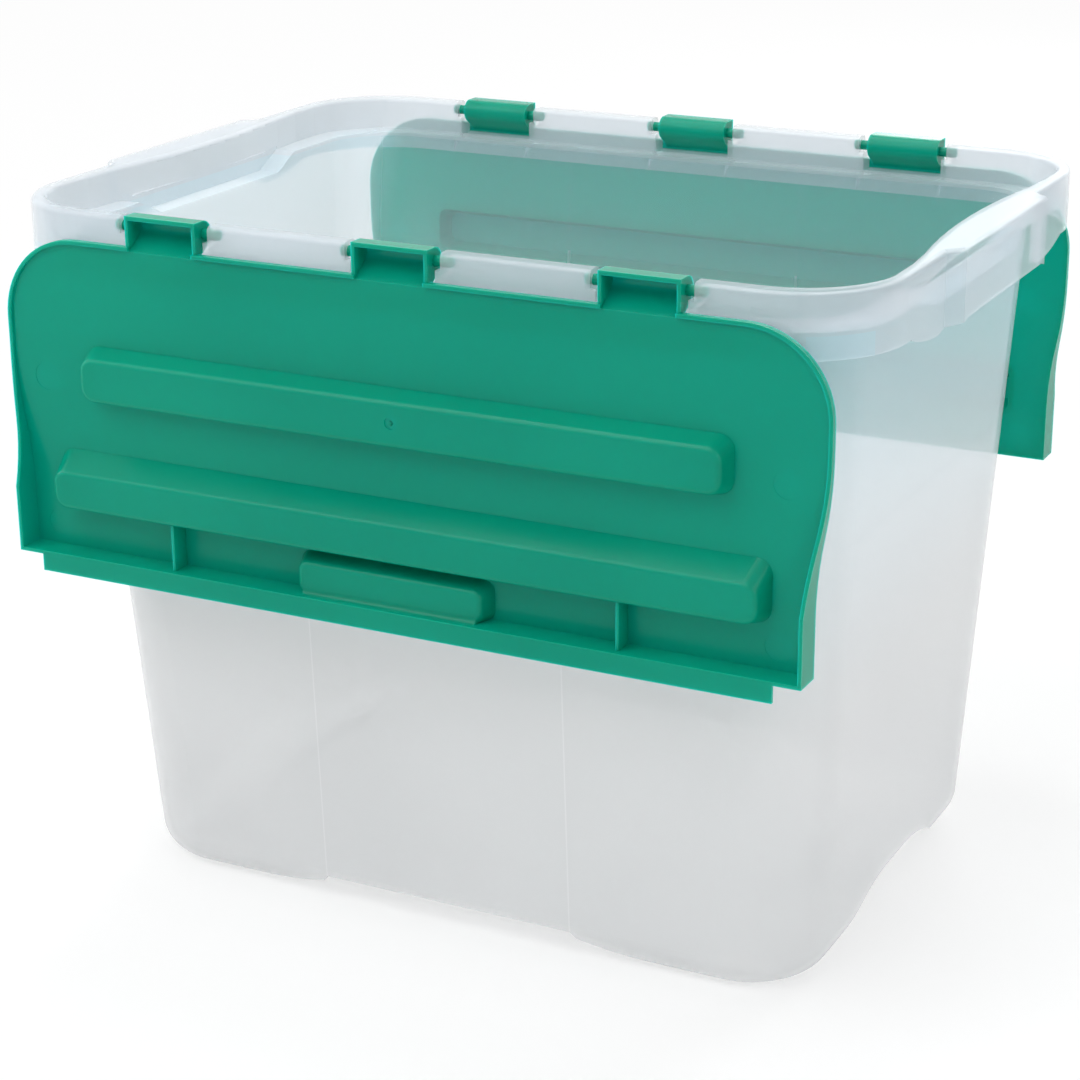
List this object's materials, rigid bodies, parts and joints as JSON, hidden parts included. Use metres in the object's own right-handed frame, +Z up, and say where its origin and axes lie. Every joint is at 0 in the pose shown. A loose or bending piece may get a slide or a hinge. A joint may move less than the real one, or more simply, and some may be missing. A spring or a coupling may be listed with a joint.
{
  "type": "storage box",
  "caption": "Tapered translucent storage tub with grip handles on its short sides and folding lid flaps hinged along its long rims.",
  "frame": {"origin": "on the ground plane under the middle of the tub's base", "axes": "+Z up, +X along the tub's long sides, -Y towards the flap with the lip"},
  "size_m": [0.51, 0.4116, 0.3943],
  "materials": {
    "milky_tub": "satin translucent polypropylene",
    "green_flap": "satin moulded polypropylene"
  },
  "bodies": {
    "tub": {"tub": "milky_tub"},
    "front_flap": {"front_flap": "green_flap"},
    "rear_flap": {"rear_flap": "green_flap"}
  },
  "joints": [
    {"name": "front_flap_hinge", "type": "hinge", "parent": "tub", "child": "front_flap", "pos_m": [0, -0.1828, 0.3875], "axis": [-1, 0, 0], "range_deg": [0, 270]},
    {"name": "rear_flap_hinge", "type": "hinge", "parent": "tub", "child": "rear_flap", "pos_m": [0, 0.1828, 0.3875], "axis": [1, 0, 0], "range_deg": [0, 270]}
  ]
}
